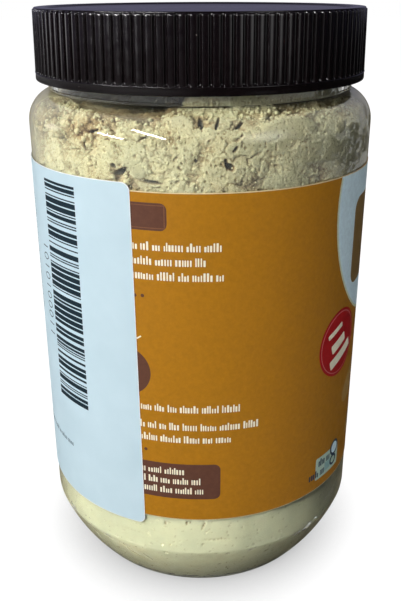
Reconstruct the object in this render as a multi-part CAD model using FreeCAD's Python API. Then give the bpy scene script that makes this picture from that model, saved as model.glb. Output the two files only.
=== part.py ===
"""Clear plastic jar of powdered peanut butter with a ribbed screw lid, a wrap label and a barcode sticker.

Millimetres, +Z up. The origin is the centre of the flat ring that the jar stands on.
The label's back panel faces -Y, and its front panel faces +X.

Every piece is a solid of its own:
  jar      blow-moulded body with a heel, a rounded shoulder and a threaded neck
  powder   the contents, out to the jar's inside wall and up to their uneven top
  lid      ribbed screw cap with a plain band round its lower edge
  label    wrap-around paper label
  sticker  upright white sticker that overlaps the label's upper and lower edge
"""

import math
import os

import FreeCAD
import Part

Vector = FreeCAD.Vector

# ---- driving dimensions ----
OVERALL_HEIGHT = 169.2
BODY_RADIUS = 49.5
BODY_WALL = 0.8

# Jar base and heel
RING_INNER_RADIUS = 35.6
RING_OUTER_RADIUS = 38.4
PUSH_UP_HEIGHT = 4.5
HEEL_FOOT_RADIUS = 39.9
HEEL_FOOT_HEIGHT = 1.3
HEEL_HEIGHT = 18.8
HEEL_BULGE = 0.9
BASE_WALL = 1.2

# Jar shoulder and neck
SHOULDER_RADIUS = 8.8
NECK_ROOT_RADIUS = 42.7
NECK_RADIUS = 43.0
NECK_BORE_RADIUS = 41.0
BEAD_RADIUS = 43.4
BEAD_BOTTOM = 148.3
BEAD_TOP = 151.2
SHOULDER_TOP = 147.5

# Screw thread between neck and lid
THREAD_PITCH = 5.08
THREAD_TURNS = 1.15
THREAD_CREST_RADIUS = 44.1
THREAD_ROOT_WIDTH = 2.0
THREAD_CREST_WIDTH = 1.0
THREAD_START_HEIGHT = 156.0
THREAD_BITE = 0.25
LID_THREAD_CREST_RADIUS = 43.5
LID_THREAD_DROP = 2.35

# Lid
LID_HEIGHT = 18.8
LID_TOP_RADIUS = 46.3
LID_FOOT_RADIUS = 46.7
LID_BORE_RADIUS = 44.7
LID_BAND_HEIGHT = 2.2
LID_TOP_WALL = 1.2
LID_RECESS_DEPTH = 0.5
LID_RECESS_RADIUS = 42.4
LID_EDGE_RADIUS = 0.7
RIB_COUNT = 110
GROOVE_RADIUS = 0.55

# Label and sticker
LABEL_BOTTOM = 31.3
LABEL_TOP = 128.2
LABEL_THICKNESS = 0.2
STICKER_BOTTOM = 28.3
STICKER_TOP = 129.9
STICKER_WIDTH = 76.2
STICKER_RIGHT_ANGLE = -19.5
STICKER_THICKNESS = 0.15
STICKER_CORNER = 3.2

# Powder's top: a low mound that leans up towards one side, with lumps on it
POWDER_EDGE_HEIGHT = 145.6
POWDER_MOUND = 3.2
POWDER_LEAN = 2.2
POWDER_HIGH_ANGLE = 35.0
POWDER_LUMP = 0.8
POWDER_LUMP_SPACING = 17.0
POWDER_GRID = 15

# Worked out from the above
LID_BOTTOM = OVERALL_HEIGHT - LID_HEIGHT
RECESS_FLOOR = OVERALL_HEIGHT - LID_RECESS_DEPTH
MOUTH_HEIGHT = RECESS_FLOOR - LID_TOP_WALL
BODY_BORE_RADIUS = BODY_RADIUS - BODY_WALL
BORE_SHOULDER_RADIUS = SHOULDER_RADIUS - BODY_WALL
SHOULDER_CENTRE_RADIUS = BODY_RADIUS - SHOULDER_RADIUS
SHOULDER_BOTTOM = SHOULDER_TOP - math.sqrt(
    SHOULDER_RADIUS**2 - (BEAD_RADIUS - SHOULDER_CENTRE_RADIUS) ** 2
)


def point(radius, height):
    """A point of a turned profile, in the XZ plane."""
    return Vector(radius, 0, height)


def around(radius, degrees, height=0.0):
    """A point at an angle from the -Y direction, positive towards +X."""
    angle = math.radians(degrees)
    return Vector(radius * math.sin(angle), -radius * math.cos(angle), height)


def line(a, b):
    return Part.LineSegment(a, b).toShape()


def arc(a, middle, b):
    return Part.Arc(a, middle, b).toShape()


def bulged(a, b, bulge):
    """An arc from a to b that stands out by bulge, to the right of the way from a to b."""
    along = (b - a).normalize()
    outward = Vector(along.z, 0, -along.x)
    return arc(a, (a + b) * 0.5 + outward * bulge, b)


def dome_arc(height):
    """The pushed-up middle of the base, part of a sphere, from the axis out to the ring."""
    sphere = (RING_INNER_RADIUS**2 + PUSH_UP_HEIGHT**2) / (2 * PUSH_UP_HEIGHT)
    half = math.asin(RING_INNER_RADIUS / sphere) / 2
    top = height + PUSH_UP_HEIGHT
    middle = point(sphere * math.sin(half), top - sphere * (1 - math.cos(half)))
    return arc(point(0, top), middle, point(RING_INNER_RADIUS, height))


def shoulder_arc(radius, end_radius):
    """The rounded shoulder from the body's side in to end_radius, and the point it ends at."""
    rise = math.sqrt(radius**2 - (end_radius - SHOULDER_CENTRE_RADIUS) ** 2)
    end = point(end_radius, SHOULDER_BOTTOM + rise)
    half = math.atan2(rise, end_radius - SHOULDER_CENTRE_RADIUS) / 2
    middle = point(
        SHOULDER_CENTRE_RADIUS + radius * math.cos(half),
        SHOULDER_BOTTOM + radius * math.sin(half),
    )
    start = point(SHOULDER_CENTRE_RADIUS + radius, SHOULDER_BOTTOM)
    return arc(start, middle, end), end


def turned(edges):
    """The solid made by turning a closed profile about Z."""
    wire = Part.Wire(Part.__sortEdges__(edges))
    solid = Part.Face(wire).revolve(Vector(0, 0, 0), Vector(0, 0, 1), 360)
    return solid if solid.ShapeType == "Solid" else Part.Solid(solid.Shells[0])


def bore_edges():
    """The jar's inside wall from the middle of its floor up to the neck's bore, and where it ends."""
    floor_middle = point(0, PUSH_UP_HEIGHT + BASE_WALL)
    floor_edge = point(RING_INNER_RADIUS, BASE_WALL)
    foot = point(HEEL_FOOT_RADIUS - BODY_WALL, HEEL_FOOT_HEIGHT + BASE_WALL)
    crease = point(BODY_BORE_RADIUS, HEEL_HEIGHT)
    shoulder, neck_foot = shoulder_arc(BORE_SHOULDER_RADIUS, NECK_BORE_RADIUS)
    edges = [
        dome_arc(BASE_WALL),
        line(floor_edge, foot),
        bulged(foot, crease, HEEL_BULGE),
        line(crease, point(BODY_BORE_RADIUS, SHOULDER_BOTTOM)),
        shoulder,
    ]
    return edges, floor_middle, neck_foot


def helical_ridge(root_radius, crest_radius, start_height, start_degrees):
    """One screw ridge with a trapezium section, running up from start_height."""
    helix = Part.makeHelix(THREAD_PITCH, THREAD_PITCH * THREAD_TURNS, root_radius)
    corners = [
        point(root_radius, -THREAD_ROOT_WIDTH / 2),
        point(crest_radius, -THREAD_CREST_WIDTH / 2),
        point(crest_radius, THREAD_CREST_WIDTH / 2),
        point(root_radius, THREAD_ROOT_WIDTH / 2),
    ]
    section = Part.makePolygon(corners + corners[:1])
    ridge = Part.Wire(helix.Edges).makePipeShell([section], True, True)
    ridge.rotate(Vector(0, 0, 0), Vector(0, 0, 1), start_degrees)
    ridge.translate(Vector(0, 0, start_height))
    return ridge


def make_jar():
    bore, floor_middle, neck_foot = bore_edges()
    push_up = point(0, PUSH_UP_HEIGHT)
    ring_in = point(RING_INNER_RADIUS, 0)
    ring_out = point(RING_OUTER_RADIUS, 0)
    heel_foot = point(HEEL_FOOT_RADIUS, HEEL_FOOT_HEIGHT)
    crease = point(BODY_RADIUS, HEEL_HEIGHT)
    shoulder, shoulder_end = shoulder_arc(SHOULDER_RADIUS, NECK_ROOT_RADIUS)
    bead_ease = BEAD_RADIUS - NECK_RADIUS
    outline = [
        dome_arc(0),
        line(ring_in, ring_out),
        bulged(ring_out, heel_foot, bead_ease / 2),
        bulged(heel_foot, crease, HEEL_BULGE),
        line(crease, point(BODY_RADIUS, SHOULDER_BOTTOM)),
        shoulder,
    ]
    neck = [
        shoulder_end,
        point(NECK_ROOT_RADIUS, BEAD_BOTTOM - bead_ease),
        point(BEAD_RADIUS, BEAD_BOTTOM),
        point(BEAD_RADIUS, BEAD_TOP),
        point(NECK_RADIUS, BEAD_TOP + bead_ease),
        point(NECK_RADIUS, MOUTH_HEIGHT),
        point(NECK_BORE_RADIUS, MOUTH_HEIGHT),
        neck_foot,
    ]
    outline += [line(a, b) for a, b in zip(neck, neck[1:])]
    jar = turned(outline + bore + [line(floor_middle, push_up)])
    ridge = helical_ridge(
        NECK_RADIUS - THREAD_BITE, THREAD_CREST_RADIUS, THREAD_START_HEIGHT, 0
    )
    return jar.fuse(ridge).removeSplitter()


def powder_height(x, y):
    """Height of the powder's top at a place in the jar."""
    share = min(1.0, math.hypot(x, y) / BODY_BORE_RADIUS)
    uphill = around(1.0, POWDER_HIGH_ANGLE)
    lean = (x * uphill.x + y * uphill.y) / BODY_BORE_RADIUS
    turn = 2 * math.pi / POWDER_LUMP_SPACING
    lumps = math.sin(turn * x + 0.8) * math.cos(turn * y) + 0.6 * math.cos(
        1.7 * turn * (x - y) / 2
    )
    mound = POWDER_MOUND * (1 - share**2)
    return POWDER_EDGE_HEIGHT + mound + POWDER_LEAN * lean + POWDER_LUMP * lumps


def make_powder():
    bore, floor_middle, neck_foot = bore_edges()
    top_middle = point(0, MOUTH_HEIGHT)
    neck_top = point(NECK_BORE_RADIUS, MOUTH_HEIGHT)
    cap = [line(neck_foot, neck_top), line(neck_top, top_middle), line(top_middle, floor_middle)]
    filling = turned(bore + cap)
    reach = BODY_RADIUS + BODY_WALL
    steps = [reach * (2 * i / (POWDER_GRID - 1) - 1) for i in range(POWDER_GRID)]
    top = Part.BSplineSurface()
    top.interpolate([[Vector(x, y, powder_height(x, y)) for y in steps] for x in steps])
    above = top.toShape().extrude(Vector(0, 0, OVERALL_HEIGHT - SHOULDER_BOTTOM))
    return filling.cut(above)


def groove_cutter(degrees):
    """The round-bottomed cut between two ribs, from the lid's band to its upper edge."""
    foot = around(LID_FOOT_RADIUS, degrees, LID_BOTTOM + LID_BAND_HEIGHT)
    head = around(LID_TOP_RADIUS, degrees, OVERALL_HEIGHT)
    along = head - foot
    return Part.makeCylinder(GROOVE_RADIUS, along.Length, foot, along)


def make_lid():
    edge = LID_EDGE_RADIUS
    ease = edge * (1 - math.sqrt(0.5))
    rim_start = point(LID_TOP_RADIUS, OVERALL_HEIGHT - edge)
    rim_end = point(LID_TOP_RADIUS - edge, OVERALL_HEIGHT)
    rim_middle = point(LID_TOP_RADIUS - ease, OVERALL_HEIGHT - ease)
    underside = MOUTH_HEIGHT
    side = [point(LID_BORE_RADIUS, LID_BOTTOM), point(LID_FOOT_RADIUS, LID_BOTTOM), rim_start]
    top = [
        rim_end,
        point(LID_RECESS_RADIUS + LID_RECESS_DEPTH, OVERALL_HEIGHT),
        point(LID_RECESS_RADIUS, RECESS_FLOOR),
        point(0, RECESS_FLOOR),
        point(0, underside),
        point(LID_BORE_RADIUS, underside),
        side[0],
    ]
    edges = [arc(rim_start, rim_middle, rim_end)]
    edges += [line(a, b) for a, b in zip(side, side[1:])]
    edges += [line(a, b) for a, b in zip(top, top[1:])]
    lid = turned(edges)
    ridge = helical_ridge(
        LID_BORE_RADIUS + THREAD_BITE,
        LID_THREAD_CREST_RADIUS,
        THREAD_START_HEIGHT - LID_THREAD_DROP,
        0,
    )
    lid = lid.fuse(ridge).removeSplitter()
    pitch = 360.0 / RIB_COUNT
    grooves = [groove_cutter(pitch * (i + 0.5)) for i in range(RIB_COUNT)]
    return lid.cut(Part.makeCompound(grooves))


def make_label():
    height = LABEL_TOP - LABEL_BOTTOM
    foot = Vector(0, 0, LABEL_BOTTOM)
    outer = Part.makeCylinder(BODY_RADIUS + LABEL_THICKNESS, height, foot)
    return outer.cut(Part.makeCylinder(BODY_RADIUS, height, foot))


def make_sticker():
    inner = BODY_RADIUS + LABEL_THICKNESS
    outer = inner + STICKER_THICKNESS
    span = math.degrees(STICKER_WIDTH / outer)
    left = STICKER_RIGHT_ANGLE - span
    base = [around(inner, left, STICKER_BOTTOM), around(outer, left, STICKER_BOTTOM)]
    strip = Part.makePolygon(
        [
            base[0],
            base[1],
            base[1] + Vector(0, 0, STICKER_TOP - STICKER_BOTTOM),
            base[0] + Vector(0, 0, STICKER_TOP - STICKER_BOTTOM),
            base[0],
        ]
    )
    sheet = Part.Face(strip).revolve(Vector(0, 0, 0), Vector(0, 0, 1), span)
    radial = [e for e in sheet.Edges if abs(e.Length - STICKER_THICKNESS) < 1e-6]
    return sheet.makeFillet(STICKER_CORNER, radial)


def main():
    os.makedirs("parts", exist_ok=True)
    pieces = {
        "jar": make_jar(),
        "powder": make_powder(),
        "lid": make_lid(),
        "label": make_label(),
        "sticker": make_sticker(),
    }
    for node, shape in pieces.items():
        solids = shape.Solids
        box = shape.BoundBox
        print(
            f"{node}: {len(solids)} solid, valid {shape.isValid()}, volume {shape.Volume:.0f} mm3, "
            f"z {box.ZMin:.2f} to {box.ZMax:.2f}, x {box.XMin:.2f} to {box.XMax:.2f}"
        )
        shape = solids[0] if len(solids) == 1 else shape
        shape.exportStep(f"parts/{node}.step")


main()
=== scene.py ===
"""Looks of the powdered peanut butter jar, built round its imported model.

Metres, in the model's own frame: +Z up, the label's back panel towards -Y and its front panel towards +X.
Angles go round the axis from -Y, positive towards +X. Places on the label are (s, h): s is the way round from
the middle of the back panel, positive towards +X, and h the way down from the label's upper edge.
"""

import math
import random

import bmesh
import bpy
import numpy as np
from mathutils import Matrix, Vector, noise


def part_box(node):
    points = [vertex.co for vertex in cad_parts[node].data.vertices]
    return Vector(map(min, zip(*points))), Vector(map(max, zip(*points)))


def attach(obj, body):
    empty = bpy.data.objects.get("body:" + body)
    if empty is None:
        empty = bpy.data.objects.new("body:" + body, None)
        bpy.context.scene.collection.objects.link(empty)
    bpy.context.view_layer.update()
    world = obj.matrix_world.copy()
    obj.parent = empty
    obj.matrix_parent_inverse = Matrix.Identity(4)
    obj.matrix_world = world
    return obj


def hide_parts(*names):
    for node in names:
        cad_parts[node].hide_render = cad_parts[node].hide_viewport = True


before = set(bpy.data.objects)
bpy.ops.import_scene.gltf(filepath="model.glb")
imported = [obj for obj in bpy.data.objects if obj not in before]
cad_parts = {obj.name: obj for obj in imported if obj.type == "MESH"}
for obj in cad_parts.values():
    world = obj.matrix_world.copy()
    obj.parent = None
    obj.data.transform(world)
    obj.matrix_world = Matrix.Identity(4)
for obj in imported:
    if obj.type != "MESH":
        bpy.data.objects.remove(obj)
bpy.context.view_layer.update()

MM = 0.001

# ---- sizes from the frame ----
JAR_LOW, JAR_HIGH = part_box("jar")
LID_LOW, LID_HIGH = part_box("lid")
LABEL_LOW, LABEL_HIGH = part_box("label")
STICKER_LOW, STICKER_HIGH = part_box("sticker")
BODY_RADIUS = 49.5 * MM
MOUTH_HEIGHT = JAR_HIGH.z

# ---- jar wall ----
WALL = 0.8 * MM
RING_INNER_RADIUS = 35.6 * MM
RING_OUTER_RADIUS = 38.4 * MM
PUSH_UP_HEIGHT = 4.5 * MM
BASE_WALL = 1.2 * MM
HEEL_FOOT_RADIUS = 39.9 * MM
HEEL_FOOT_HEIGHT = 1.3 * MM
HEEL_HEIGHT = 18.8 * MM
HEEL_BULGE = 0.9 * MM
SHOULDER_BOTTOM = 139.1 * MM
SHOULDER_RADIUS = 8.8 * MM
NECK_ROOT_RADIUS = 42.7 * MM
NECK_RADIUS = 43.0 * MM
NECK_BORE_RADIUS = 41.0 * MM
BEAD_RADIUS = 43.4 * MM
BEAD_BOTTOM = 148.0 * MM
BEAD_TOP = 151.2 * MM
SHOULDER_CENTRE_RADIUS = BODY_RADIUS - SHOULDER_RADIUS
BORE_RADIUS = BODY_RADIUS - WALL

SEGMENTS = 288


# ---- small helpers ----
def colour(red, green, blue):
    """An sRGB colour, each part from 0 to 255, as the linear RGBA that a shader takes."""
    parts = [value / 255 for value in (red, green, blue)]
    linear = [v / 12.92 if v <= 0.04045 else ((v + 0.055) / 1.055) ** 2.4 for v in parts]
    return (*linear, 1.0)


def around(radius, angle, height):
    """The point at an angle round the axis, in radians."""
    return (radius * math.sin(angle), -radius * math.cos(angle), height)


def smoothstep(low, high, value):
    share = min(1.0, max(0.0, (value - low) / (high - low)))
    return share * share * (3 - 2 * share)


# ---- material helpers ----
class Nodes:
    """A material's node tree, with short ways to add nodes and join them."""

    def __init__(self, name):
        self.material = bpy.data.materials.new(name)
        self.material.use_nodes = True
        self.tree = self.material.node_tree
        self.tree.nodes.clear()
        self.output = self.add("OutputMaterial")

    def add(self, kind, inputs=None, **settings):
        node = self.tree.nodes.new("ShaderNode" + kind)
        for name, value in settings.items():
            setattr(node, name, value)
        for name, value in (inputs or {}).items():
            if isinstance(value, bpy.types.NodeSocket):
                self.tree.links.new(value, node.inputs[name])
            else:
                node.inputs[name].default_value = value
        return node

    def place(self):
        """Object coordinates, which are the row frame's, in metres."""
        return self.add("TexCoord").outputs["Object"]

    def noise(self, scale, detail=4.0, roughness=0.55, place=None):
        node = self.add(
            "TexNoise",
            {"Vector": place or self.place(), "Scale": scale, "Detail": detail, "Roughness": roughness},
        )
        return node.outputs["Fac"]

    def cells(self, scale, feature="F1", place=None):
        node = self.add("TexVoronoi", {"Vector": place or self.place(), "Scale": scale}, feature=feature)
        return node.outputs["Distance"]

    def ramp(self, value, stops):
        """A colour ramp through (position, colour) stops."""
        node = self.add("ValToRGB", {"Fac": value})
        elements = node.color_ramp.elements
        while len(elements) < len(stops):
            elements.new(0.5)
        for element, (position, shade) in zip(elements, stops):
            element.position = position
            element.color = shade
        return node.outputs["Color"]

    def scaled(self, value, low, high, to_low=0.0, to_high=1.0):
        inputs = {"Value": value, "From Min": low, "From Max": high, "To Min": to_low, "To Max": to_high}
        return self.add("MapRange", inputs, clamp=True).outputs["Result"]

    def math(self, operation, first, second):
        return self.add("Math", {0: first, 1: second}, operation=operation).outputs[0]

    def mix(self, share, first, second, blend="MIX"):
        node = self.add("Mix", data_type="RGBA", blend_type=blend)
        for index, value in ((0, share), (6, first), (7, second)):
            if isinstance(value, bpy.types.NodeSocket):
                self.tree.links.new(value, node.inputs[index])
            else:
                node.inputs[index].default_value = value
        return node.outputs[2]

    def bump(self, height, strength, distance):
        inputs = {"Height": height, "Strength": strength, "Distance": distance}
        return self.add("Bump", inputs).outputs["Normal"]

    def finish(self, shader):
        self.tree.links.new(shader, self.output.inputs["Surface"])
        return self.material


# ---- materials ----
def clear_plastic():
    """Clear PET: smooth glass that lets lamps through to what is inside, with a haze at a glancing angle."""
    nodes = Nodes("clear_plastic")
    wobble = nodes.bump(nodes.noise(60, 2), 0.12, 0.3 * MM)
    glass = nodes.add(
        "BsdfPrincipled",
        {
            "Base Color": (0.93, 0.95, 0.92, 1),
            "Roughness": 0.006,
            "IOR": 1.5,
            "Transmission Weight": 1.0,
            "Normal": wobble,
        },
    )
    haze = nodes.add(
        "BsdfPrincipled",
        {"Base Color": colour(164, 156, 122), "Roughness": 0.4, "Specular IOR Level": 0.3},
    )
    facing = nodes.add("LayerWeight", {"Blend": 0.5}).outputs["Facing"]
    rise = nodes.add("SeparateXYZ", {0: nodes.place()}).outputs["Z"]
    most = nodes.scaled(rise, 4 * MM, HEEL_HEIGHT, 0.3, 0.85)
    haze_share = nodes.math("MULTIPLY", nodes.scaled(facing, 0.58, 0.94), most)
    surface = nodes.add("MixShader", {0: haze_share, 1: glass.outputs[0], 2: haze.outputs[0]})
    clear = nodes.add("BsdfTransparent", {"Color": (0.96, 0.97, 0.95, 1)})
    shadow = nodes.add("LightPath").outputs["Is Shadow Ray"]
    through = nodes.add("MixShader", {0: shadow, 1: surface.outputs[0], 2: clear.outputs[0]})
    return nodes.finish(through.outputs[0])


def powder(name, pressed, pore_shade_share, spread, tooth):
    """Pale dry powder with painted shade: light where it presses on the wall, darker and browner in the gaps, with
    dark pores in a share of it.
    """
    nodes = Nodes(name)
    depth = nodes.add("Attribute", attribute_name="depth").outputs["Fac"]
    # painted shade: the further a place stands back from the wall, the darker and browner it is drawn
    base = nodes.ramp(
        depth,
        [
            (0.0, colour(*pressed)),
            (0.1, colour(215, 205, 165)),
            (0.25, colour(172, 150, 109)),
            (0.46, colour(104, 80, 52)),
            (0.8, colour(48, 33, 22)),
        ],
    )
    patches = nodes.scaled(nodes.noise(90, 3), 0.35, 0.65)
    tinted = nodes.mix(nodes.math("MULTIPLY", patches, 0.3), base, colour(196, 202, 176), "MIX")
    # painted shade: fine dark pores speckled over a share of the powder, for the shade in its tiny pits
    pore_shade = nodes.scaled(nodes.noise(1500, 3, 0.75), 0.36, 0.43, pore_shade_share, 0.0)
    pore_shaded = nodes.mix(pore_shade, tinted, colour(92, 72, 46), "MIX")
    grain = nodes.noise(1250, 4, 0.8)
    normal = nodes.bump(grain, tooth, 0.55 * MM)
    shader = nodes.add(
        "BsdfPrincipled",
        {
            "Base Color": pore_shaded,
            "Roughness": 0.95,
            "Diffuse Roughness": spread,
            "Specular IOR Level": 0.1,
            "Normal": normal,
        },
    )
    return nodes.finish(shader.outputs[0])


def lid_plastic():
    """Very dark brown moulded plastic with a satin gloss and a little dust."""
    nodes = Nodes("lid_plastic")
    blotch = nodes.noise(120, 3)
    base = nodes.mix(blotch, colour(10, 5, 6), colour(18, 11, 12))
    dust = nodes.scaled(nodes.cells(420), 0.0, 0.055, 1.0, 0.0)
    rare = nodes.scaled(nodes.noise(260, 2), 0.6, 0.64)
    speck = nodes.math("MULTIPLY", dust, rare)
    dusty = nodes.mix(speck, base, colour(190, 182, 170))
    roughness = nodes.scaled(nodes.noise(500, 3), 0.3, 0.7, 0.12, 0.19)
    normal = nodes.bump(nodes.noise(700, 2), 0.05, 0.08 * MM)
    shader = nodes.add(
        "BsdfPrincipled",
        {"Base Color": dusty, "Roughness": roughness, "Specular IOR Level": 0.5, "Normal": normal},
    )
    return nodes.finish(shader.outputs[0])


def print_ink(name, shade, roughness=0.38, gloss=0.15):
    """Satin printed paper in one colour, with faint mottling and the paper's slight waves."""
    nodes = Nodes(name)
    mottle = nodes.noise(700, 4, 0.7)
    darker = tuple(0.88 * part for part in shade[:3]) + (1.0,)
    lighter = tuple(min(1.0, 1.06 * part) for part in shade[:3]) + (1.0,)
    base = nodes.mix(nodes.scaled(mottle, 0.3, 0.7), darker, lighter)
    waves = nodes.noise(45, 3, 0.6)
    normal = nodes.bump(waves, 0.25, 0.5 * MM)
    rough = nodes.scaled(nodes.noise(300, 3), 0.3, 0.7, roughness - 0.05, roughness + 0.07)
    shader = nodes.add(
        "BsdfPrincipled",
        {"Base Color": base, "Roughness": rough, "Specular IOR Level": gloss, "Normal": normal},
    )
    return nodes.finish(shader.outputs[0])


def sticker_paper():
    """Matte white thermal paper with a fine tooth."""
    nodes = Nodes("sticker_paper")
    fibre = nodes.noise(2200, 4, 0.7)
    base = nodes.mix(nodes.scaled(nodes.noise(80, 3), 0.3, 0.7), colour(192, 215, 224), colour(199, 221, 230))
    normal = nodes.bump(fibre, 0.12, 0.08 * MM)
    shader = nodes.add(
        "BsdfPrincipled",
        {"Base Color": base, "Roughness": 0.55, "Specular IOR Level": 0.35, "Normal": normal},
    )
    return nodes.finish(shader.outputs[0])


# ---- mesh helpers ----
def new_piece(name, mesh, material, material_slot, *replaced):
    """Puts a mesh into the scene as a piece of the object's one body."""
    piece = bpy.data.objects.new(name, mesh)
    bpy.context.scene.collection.objects.link(piece)
    mesh.materials.append(material)
    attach(piece, "root")
    if replaced:
        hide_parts(*replaced)
    return piece


def mesh_of_rows(name, points, closed=False, sharp=None, ring=True):
    """A mesh through points[row, column, xyz]; closed joins last row to first, and ring last column to first."""
    rows, columns, _ = points.shape
    mesh = bpy.data.meshes.new(name)
    index = np.arange(rows * columns).reshape(rows, columns)
    if closed:
        index = np.vstack([index, index[:1]])
    if ring:
        index = np.hstack([index, index[:, :1]])
    faces = np.stack([index[:-1, :-1], index[:-1, 1:], index[1:, 1:], index[1:, :-1]], axis=-1).reshape(-1, 4)
    mesh.from_pydata(points.reshape(-1, 3).tolist(), [], faces.tolist())
    smooth(mesh, sharp)
    return mesh


def smooth(mesh, sharp=None):
    mesh.shade_smooth()
    if sharp is not None:
        mesh.set_sharp_from_angle(angle=math.radians(sharp))


def evenly(segments):
    """Angles evenly spaced all the way round."""
    return np.linspace(0, 2 * math.pi, segments, endpoint=False)


def turned_points(profile, angles):
    """points[row, column, xyz] of a profile of (radius, height) turned about Z to each of the angles."""
    radii, heights = np.array(profile).T
    x = np.outer(radii, np.sin(angles))
    y = -np.outer(radii, np.cos(angles))
    z = np.repeat(heights[:, None], len(angles), axis=1)
    return np.stack([x, y, z], axis=-1)


def arc(centre, radius, start, end, steps):
    """Profile points on an arc, with angles in degrees from the outward direction, positive upwards."""
    turns = [math.radians(start + (end - start) * i / steps) for i in range(steps + 1)]
    return [(centre[0] + radius * math.cos(t), centre[1] + radius * math.sin(t)) for t in turns]


def bowed(start, end, bow, steps):
    """Profile points from start to end, standing out by bow to the right of the way."""
    start, end = np.array(start), np.array(end)
    along = (end - start) / np.linalg.norm(end - start)
    outward = np.array([along[1], -along[0]])
    shares = np.linspace(-1, 1, steps + 1)
    return [tuple((start + end) / 2 + (end - start) / 2 * t + outward * bow * (1 - t * t)) for t in shares]


# ---- jar ----
def dome(height, steps=12):
    """The pushed-up middle of the base, from near the axis out to the ring."""
    sphere = (RING_INNER_RADIUS**2 + PUSH_UP_HEIGHT**2) / (2 * PUSH_UP_HEIGHT)
    radii = [RING_INNER_RADIUS * (i + 0.02) / (steps + 0.02) for i in range(steps + 1)]
    top = height + PUSH_UP_HEIGHT
    return [(r, top - sphere + math.sqrt(sphere**2 - r * r)) for r in radii]


def shoulder_turn(radius, end_radius):
    """Degrees of the shoulder's arc at which it comes in to end_radius."""
    return math.degrees(math.acos((end_radius - SHOULDER_CENTRE_RADIUS) / radius))


def outside_profile():
    """The jar's outer surface from the middle of its base up to its mouth."""
    centre = (SHOULDER_CENTRE_RADIUS, SHOULDER_BOTTOM)
    ease = 0.35 * MM
    profile = dome(0.0)
    profile += [(RING_INNER_RADIUS + ease, -0.0), (RING_OUTER_RADIUS - ease, 0.0)]
    profile += bowed((RING_OUTER_RADIUS, 0.05 * MM), (HEEL_FOOT_RADIUS, HEEL_FOOT_HEIGHT), 0.2 * MM, 4)
    profile += bowed((HEEL_FOOT_RADIUS, HEEL_FOOT_HEIGHT), (BODY_RADIUS, HEEL_HEIGHT), HEEL_BULGE, 14)[1:-1]
    profile += [(BODY_RADIUS - 0.12 * MM, HEEL_HEIGHT - 0.35 * MM), (BODY_RADIUS, HEEL_HEIGHT + 0.6 * MM)]
    profile += [(BODY_RADIUS, h * MM) for h in (22, 26, 30, 34, 80, 124, 127, 130, 133, 136)]
    profile += arc(centre, SHOULDER_RADIUS, 0, shoulder_turn(SHOULDER_RADIUS, NECK_ROOT_RADIUS), 22)
    root = profile[-1][1]
    profile += [(NECK_ROOT_RADIUS, root + 0.1 * MM), (NECK_ROOT_RADIUS + 0.1 * MM, BEAD_BOTTOM - 0.1 * MM)]
    profile += [(BEAD_RADIUS - 0.15 * MM, BEAD_BOTTOM), (BEAD_RADIUS, BEAD_BOTTOM + 0.15 * MM)]
    profile += [(BEAD_RADIUS, BEAD_BOTTOM + 0.35 * MM), (BEAD_RADIUS, BEAD_TOP - 0.35 * MM)]
    profile += [(BEAD_RADIUS, BEAD_TOP - 0.15 * MM), (BEAD_RADIUS - 0.15 * MM, BEAD_TOP)]
    profile += [(NECK_RADIUS, BEAD_TOP + 0.4 * MM), (NECK_RADIUS, MOUTH_HEIGHT - ease)]
    profile += [(NECK_RADIUS - ease, MOUTH_HEIGHT)]
    return profile


def inside_profile():
    """The jar's inner surface from the middle of its floor up to its mouth."""
    centre = (SHOULDER_CENTRE_RADIUS, SHOULDER_BOTTOM)
    foot = (HEEL_FOOT_RADIUS - WALL, HEEL_FOOT_HEIGHT + BASE_WALL)
    radius = SHOULDER_RADIUS - WALL
    profile = dome(BASE_WALL)
    profile += bowed(foot, (BORE_RADIUS, HEEL_HEIGHT), HEEL_BULGE, 14)
    profile += [(BORE_RADIUS, h * MM) for h in (22, 30, 80, 128)]
    profile += arc(centre, radius, 0, shoulder_turn(radius, NECK_BORE_RADIUS), 18)
    profile += [(NECK_BORE_RADIUS, profile[-1][1] + 0.15 * MM)]
    profile += [(NECK_BORE_RADIUS, h * MM) for h in (150, 158)]
    profile += [(NECK_BORE_RADIUS, MOUTH_HEIGHT)]
    return profile


def make_jar():
    points = turned_points(outside_profile() + inside_profile()[::-1], evenly(SEGMENTS))
    mesh = mesh_of_rows("clear_jar", points, closed=True, sharp=50)
    return new_piece("clear_jar", mesh, clear_plastic(), "clear_plastic", "jar")


# ---- powder ----
POWDER_BITE = 0.12 * MM
POWDER_SPLIT = 126.5 * MM
POWDER_MIDDLE = 148.4 * MM
POWDER_TROUGH = 0.9 * MM
HIGHEST_RIM = 150.9 * MM
# the height in millimetres at which the powder's top meets the wall, at angles round from the label's middle
RIM = [
    (-180, 146.3), (-120, 146.8), (-80, 147.7), (-62, 147.7), (-50, 147.0), (-43, 146.4), (-38, 145.9),
    (-33, 146.4), (-25, 145.3), (-20, 145.4), (-14, 146.0), (-8, 147.1), (-5, 150.7), (100, 150.7),
    (120, 148.0), (150, 146.8), (180, 146.3),
]
FACE_COLUMNS = 1440
FACE_ROWS = 112
DEEPEST = 3.0

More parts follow.
